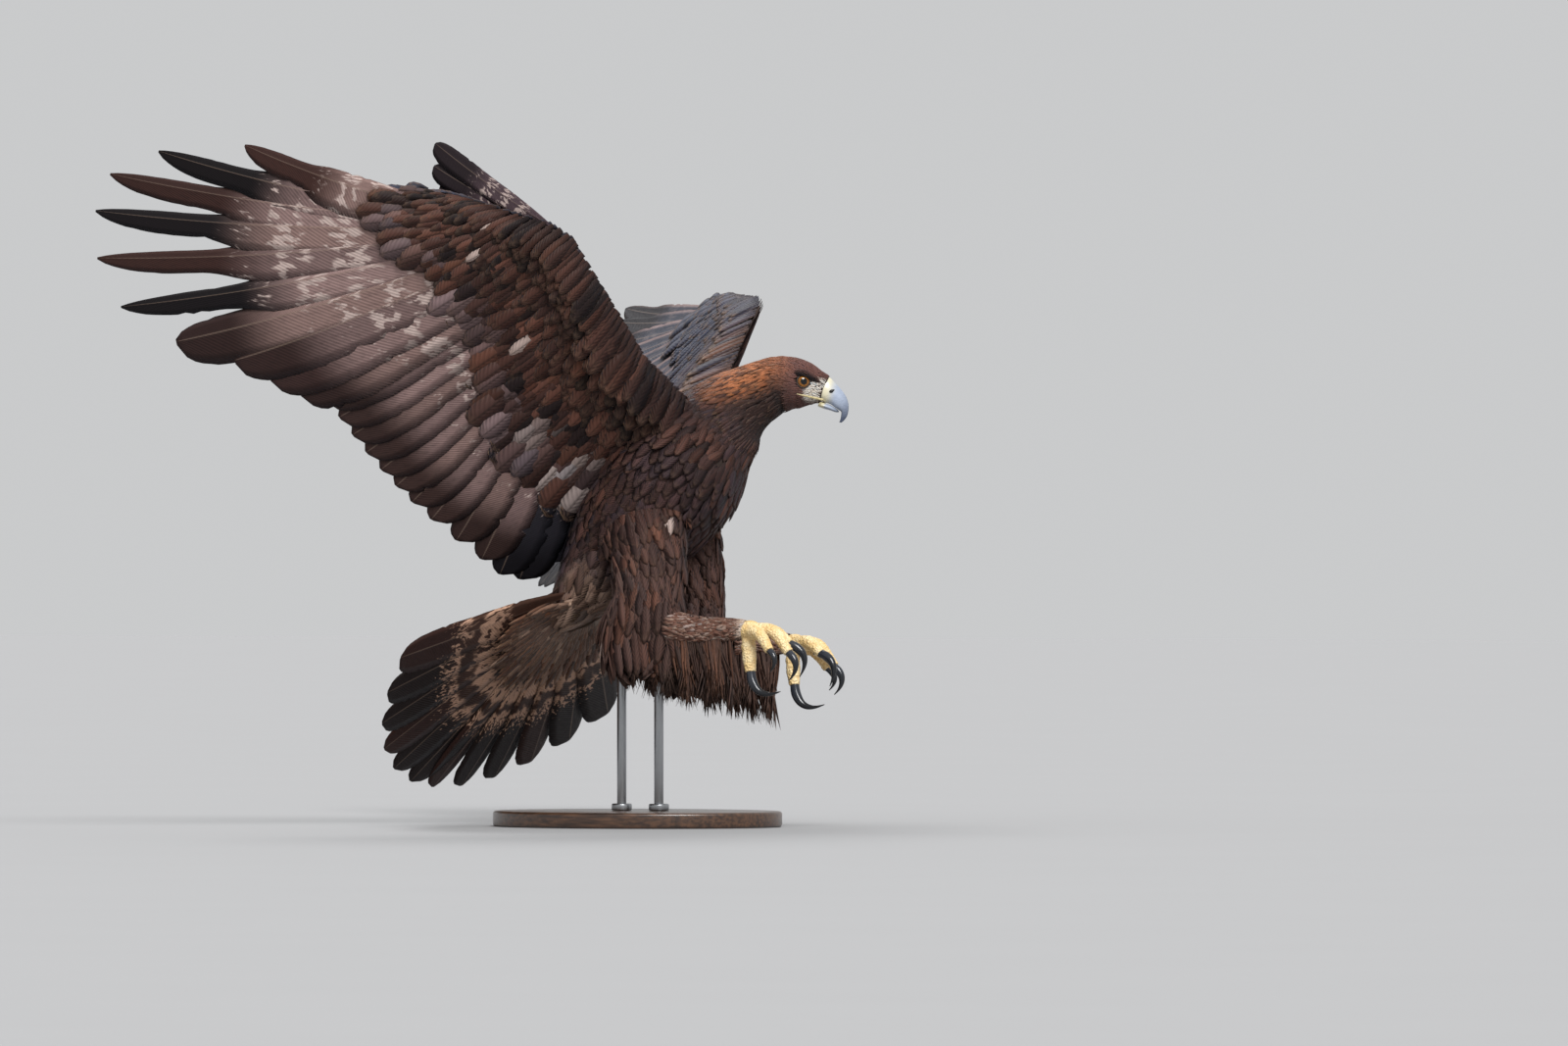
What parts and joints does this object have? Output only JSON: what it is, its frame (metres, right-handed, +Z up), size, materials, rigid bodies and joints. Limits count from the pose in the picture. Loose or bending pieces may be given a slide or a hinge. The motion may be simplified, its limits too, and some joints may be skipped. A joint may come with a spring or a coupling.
{
  "type": "eagle model",
  "caption": "Life-size golden eagle in landing flight, wings raised, tail fanned and feet thrown forward, held on a flat stand by two rods.",
  "frame": {"origin": "centre of the underside of the display stand's base, on the floor", "axes": "+Z up, +X the way the bird flies, +Y to the bird's left"},
  "size_m": [0.7419, 1.3676, 0.865],
  "materials": {
    "body_feathers": "matt, layered dark rufous-brown feathers",
    "nape_feathers": "narrow rufous-gold hackles over brown",
    "wing_feathers": "long satin feathers, blackish brown with greyer bases",
    "tail_feathers": "long satin feathers with a jagged pale marbled band and near-black ends",
    "bill": "polished horn, blue-grey to a near-black tip, with a yellow cere",
    "toe_skin": "finely scaled yellow skin",
    "claw": "polished black horn",
    "eye": "clear glass over a golden-brown iris and a black pupil",
    "stand_wood": "dark stained wood, satin",
    "stand_steel": "satin steel rod"
  },
  "bodies": {
    "root": {"torso": "body_feathers", "neck": "nape_feathers", "head": "nape_feathers", "bill_upper": "bill", "bill_lower": "bill", "eye_right": "eye", "eye_left": "eye", "wing_upperarm_right": "wing_feathers", "wing_upperarm_left": "wing_feathers", "wing_forearm_right": "wing_feathers", "wing_forearm_left": "wing_feathers", "wing_hand_right": "wing_feathers", "wing_hand_left": "wing_feathers", "thigh_right": "body_feathers", "thigh_left": "body_feathers", "tarsus_right": "body_feathers", "tarsus_left": "body_feathers", "foot_right": "toe_skin", "foot_left": "toe_skin", "claw_hallux_right": "claw", "claw_hallux_left": "claw", "claw_inner_right": "claw", "claw_inner_left": "claw", "claw_middle_right": "claw", "claw_middle_left": "claw", "claw_outer_right": "claw", "claw_outer_left": "claw", "tail": "tail_feathers", "stand_base": "stand_wood", "stand_rod_front": "stand_steel", "stand_rod_rear": "stand_steel"}
  },
  "joints": []
}
